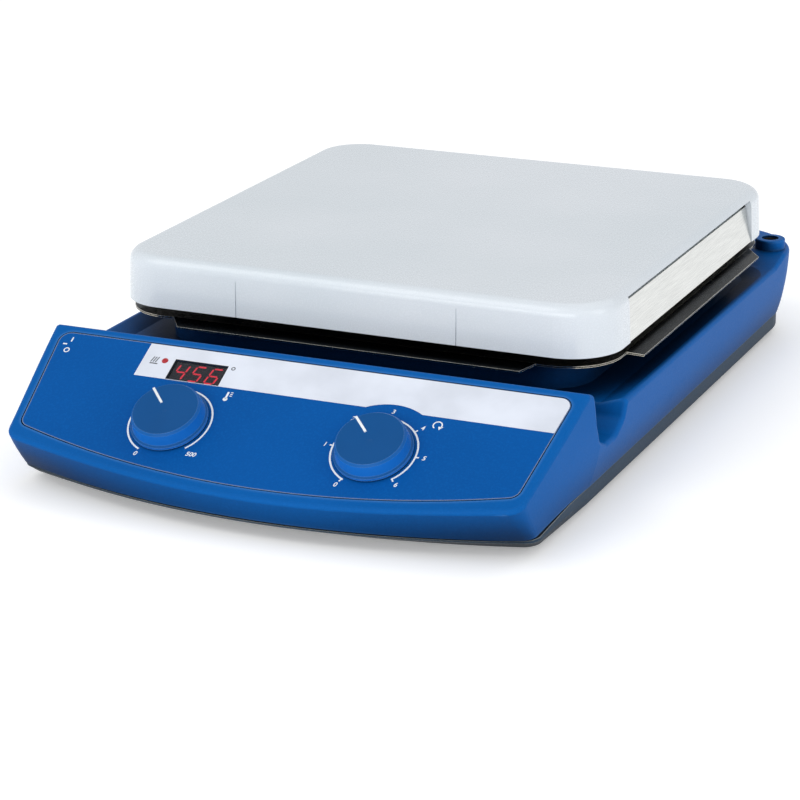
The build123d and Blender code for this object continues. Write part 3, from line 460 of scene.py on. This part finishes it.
# The printed scales: angles in degrees clockwise from straight up the slope, sizes in millimetres
ARC_R, ARC_W = 20.2, 0.85
ARC_START, ARC_END = -157, 135
MARKS = (-155, -90, -45, 0, 45, 90, 135)
DIGIT_R, DIGIT_SIZE = 24.3, 3.4
INK_LOW, INK_HIGH = 0.01, 0.06
for name, origin in (("temp", TEMP_AT), ("speed", SPEED_AT)):
    strokes = sweep_stroke(ARC_START, ARC_END, ARC_R, ARC_W, 96)
    flat_piece(name + "_scale_arc", strokes, origin, INK_LOW, INK_HIGH, "ink")

ticks = []
for degrees in MARKS:
    ticks.append(bar(*polar(degrees, ARC_R - 0.4), *polar(degrees, ARC_R + 1.7), 0.7))
flat_piece("speed_scale_ticks", ticks, SPEED_AT, 0.012, 0.065, "ink")
for number, degrees in enumerate(MARKS):
    x, y = polar(degrees, DIGIT_R)
    lettering(f"speed_digit_{number}", str(number), x, y, DIGIT_SIZE, SPEED_AT)
lettering("temp_digit_low", "0", -8.4, -21.6, DIGIT_SIZE, TEMP_AT)
lettering("temp_digit_high", "500", 18.6, -17.4, DIGIT_SIZE, TEMP_AT)

# Small symbols: a thermometer by the left dial, a turning arrow by the right one
thermometer = [disc(0, -1.9, 1.15), bar(0, -1.9, 0, 2.6, 1.0), bar(1.3, 0.3, 2.5, 0.3, 0.45),
               bar(1.3, 1.4, 2.5, 1.4, 0.45), bar(1.3, 2.5, 2.5, 2.5, 0.45)]
flat_piece("heat_symbol", thermometer, TEMP_AT + (ACROSS * 20.6 + UP * 19.8) * MM, INK_LOW, INK_HIGH, "ink")
turning = sweep_stroke(-150, 120, 2.1, 0.6, 24)
tip = polar(120, 2.1)
turning.append([(tip[0] + 1.2, tip[1] + 0.5), (tip[0] - 1.3, tip[1] + 0.3), (tip[0] - 0.4, tip[1] - 1.6)])
flat_piece("stir_symbol", turning, SPEED_AT + (ACROSS * 23.4 + UP * 20.1) * MM, INK_LOW, INK_HIGH, "ink")

# On and off marks at the left end, over the power switch
marks_at = TEMP_AT + (ACROSS * -73.0 + UP * 38.0) * MM
on_off = [bar(0.2, 2.2, 0.2, 5.0, 0.7), bar(-3.4, 0.3, -1.2, 0.3, 0.8)]
flat_piece("switch_on_marks", on_off, marks_at, INK_LOW, INK_HIGH, "ink")
flat_piece("switch_off_mark", sweep_stroke(0, 360, 1.3, 0.55, 28),
           marks_at + (ACROSS * 0.4 + UP * -3.4) * MM, INK_LOW, INK_HIGH, "ink")

# Marks on the white band: a heating symbol by the lamp, a degree ring by the window
lamp = dropped(centre("status_lens"))
heat = [bar(-1.9 + 1.25 * k, -1.6, -1.1 + 1.25 * k, 1.8, 0.5) for k in range(3)]
heat.append(bar(-2.1, -2.4, 2.1, -2.4, 0.6))
flat_piece("heater_symbol", heat, lamp - ACROSS * 5.2 * MM, 0.2, 0.25, "grey_ink")
window = dropped(centre("display_window"))
flat_piece("degree_ring", sweep_stroke(0, 360, 0.85, 0.45, 24), window + (ACROSS * 17.0 + UP * 5.2) * MM,
           0.2, 0.25, "grey_ink")


# Lit digits ----------------------------------------------------------------------------------

HALF_W, HALF_H, STROKE = 2.45, 4.7, 0.85
PITCH, LEAN = 8.7, 0.18


def segment(x0, y0, x1, y1):
    """One lit segment with pointed ends, leaning like the whole digit."""
    along = Vector((x1 - x0, y1 - y0))
    trim = along.normalized() * 0.28
    a, b = Vector((x0, y0)) + trim, Vector((x1, y1)) - trim
    nose = along.normalized() * STROKE / 2
    side = Vector((-nose.y, nose.x))
    corners = [a, a + nose + side, b - nose + side, b, b - nose - side, a + nose - side]
    return [(p.x + LEAN * p.y, p.y) for p in corners]


SEGMENTS = {
    "top": (-HALF_W, HALF_H, HALF_W, HALF_H),
    "middle": (-HALF_W, 0, HALF_W, 0),
    "bottom": (-HALF_W, -HALF_H, HALF_W, -HALF_H),
    "upper_left": (-HALF_W, HALF_H, -HALF_W, 0),
    "lower_left": (-HALF_W, 0, -HALF_W, -HALF_H),
    "upper_right": (HALF_W, HALF_H, HALF_W, 0),
    "lower_right": (HALF_W, 0, HALF_W, -HALF_H),
}
DIGITS = {
    "4": ("upper_left", "middle", "upper_right", "lower_right"),
    "5": ("top", "upper_left", "middle", "lower_right", "bottom"),
    "6": ("top", "upper_left", "middle", "lower_left", "lower_right", "bottom"),
}
MODULE_FACE = -1.3       # the display module's face, under the panel surface
for place, digit in enumerate("456"):
    shapes = [segment(*SEGMENTS[part]) for part in DIGITS[digit]]
    at = window + ACROSS * ((place - 1) * PITCH - 0.4) * MM
    flat_piece(f"display_digit_{place + 1}", shapes, at, MODULE_FACE, MODULE_FACE + 0.08, "segment")


# Small dots at the inner ends of the pointers ------------------------------------------------

DOT_FROM_AXIS, DOT_LOW, DOT_HIGH = 4.2, 8.06, 8.2
for name, joint in (("temp", TEMP), ("speed", SPEED)):
    low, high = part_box(name + "_pointer")
    toward = (low + high) / 2 - Vector(joint["pos_m"])
    toward -= NORMAL * toward.dot(NORMAL)
    toward.normalize()
    at = Vector(joint["pos_m"]) + toward * DOT_FROM_AXIS * MM
    flat_piece(name + "_pointer_dot", [disc(0, 0, 0.55)], at, DOT_LOW, DOT_HIGH, "ink", name + "_dial")


# Floor, light and camera ---------------------------------------------------------------------

def floor():
    mesh = bpy.data.meshes.new("studio_floor")
    size = 6.0
    corners = [(-size, -size, 0), (size, -size, 0), (size, size, 0), (-size, size, 0)]
    mesh.from_pydata(corners, [], [(0, 1, 2, 3)])
    s = Shader("studio_floor")
    mesh.materials.append(s.surface(
        Base_Color=s.mix(s.noise(3.0), srgb(248, 248, 248), srgb(252, 252, 252)), Roughness=0.9,
        Specular_IOR_Level=0.05, Emission_Color=(1.0, 1.0, 1.0, 1.0), Emission_Strength=0.24,
    ))
    piece = bpy.data.objects.new("studio_floor", mesh)
    bpy.context.scene.collection.objects.link(piece)


def softbox(name, place, target, size, power, colour=(1.0, 1.0, 1.0)):
    light = bpy.data.lights.new(name, "AREA")
    light.shape = "RECTANGLE"
    light.size, light.size_y = size
    light.energy = power
    light.color = colour
    piece = bpy.data.objects.new(name, light)
    piece.location = place
    piece.rotation_euler = (Vector(target) - Vector(place)).to_track_quat("-Z", "Y").to_euler()
    bpy.context.scene.collection.objects.link(piece)


def world(horizon, zenith):
    """A white studio, a little darker overhead than at its walls."""
    data = bpy.data.worlds.new("studio")
    data.use_nodes = True
    nodes, links = data.node_tree.nodes, data.node_tree.links
    background = nodes["Background"]
    background.inputs["Color"].default_value = (0.97, 0.985, 1.0, 1.0)
    split = nodes.new("ShaderNodeSeparateXYZ")
    links.new(nodes.new("ShaderNodeTexCoord").outputs["Generated"], split.inputs[0])
    height = nodes.new("ShaderNodeMapRange")
    height.inputs["From Min"].default_value = 0.0
    height.inputs["From Max"].default_value = 0.9
    height.inputs["To Min"].default_value = horizon
    height.inputs["To Max"].default_value = zenith
    links.new(split.outputs["Z"], height.inputs["Value"])
    links.new(height.outputs["Result"], background.inputs["Strength"])
    bpy.context.scene.world = data


def camera(place, target, roll, lens):
    data = bpy.data.cameras.new("camera")
    data.sensor_width = 36.0
    data.lens = lens
    data.clip_start, data.clip_end = 0.05, 50.0
    piece = bpy.data.objects.new("camera", data)
    back = (Vector(place) - Vector(target)).normalized()
    right = Vector((0, 0, 1)).cross(back).normalized()
    up = back.cross(right)
    turn = Matrix((right, up, back)).transposed() @ Matrix.Rotation(math.radians(roll), 3, "Z")
    piece.matrix_world = Matrix.Translation(place) @ turn.to_4x4()
    bpy.context.scene.collection.objects.link(piece)
    bpy.context.scene.camera = piece


floor()
world(0.86, 0.62)
softbox("key_light", (-0.9, -1.1, 1.7), (0, 0, 0.05), (1.6, 1.2), 9.0)
softbox("front_light", (0.1, -2.3, 0.7), (0, 0, 0.05), (2.4, 0.9), 16.0)
softbox("top_light", (0.3, 1.2, 1.9), (0, 0, 0.05), (2.2, 1.6), 5.0)
softbox("right_light", (1.9, -0.3, 0.9), (0, 0, 0.05), (0.9, 1.2), 5.0)
camera((0.53398, -1.20119, 0.45327), (-0.00863, -0.01542, 0.00373), -0.65, 121.7)
bpy.context.scene.view_settings.view_transform = "Standard"
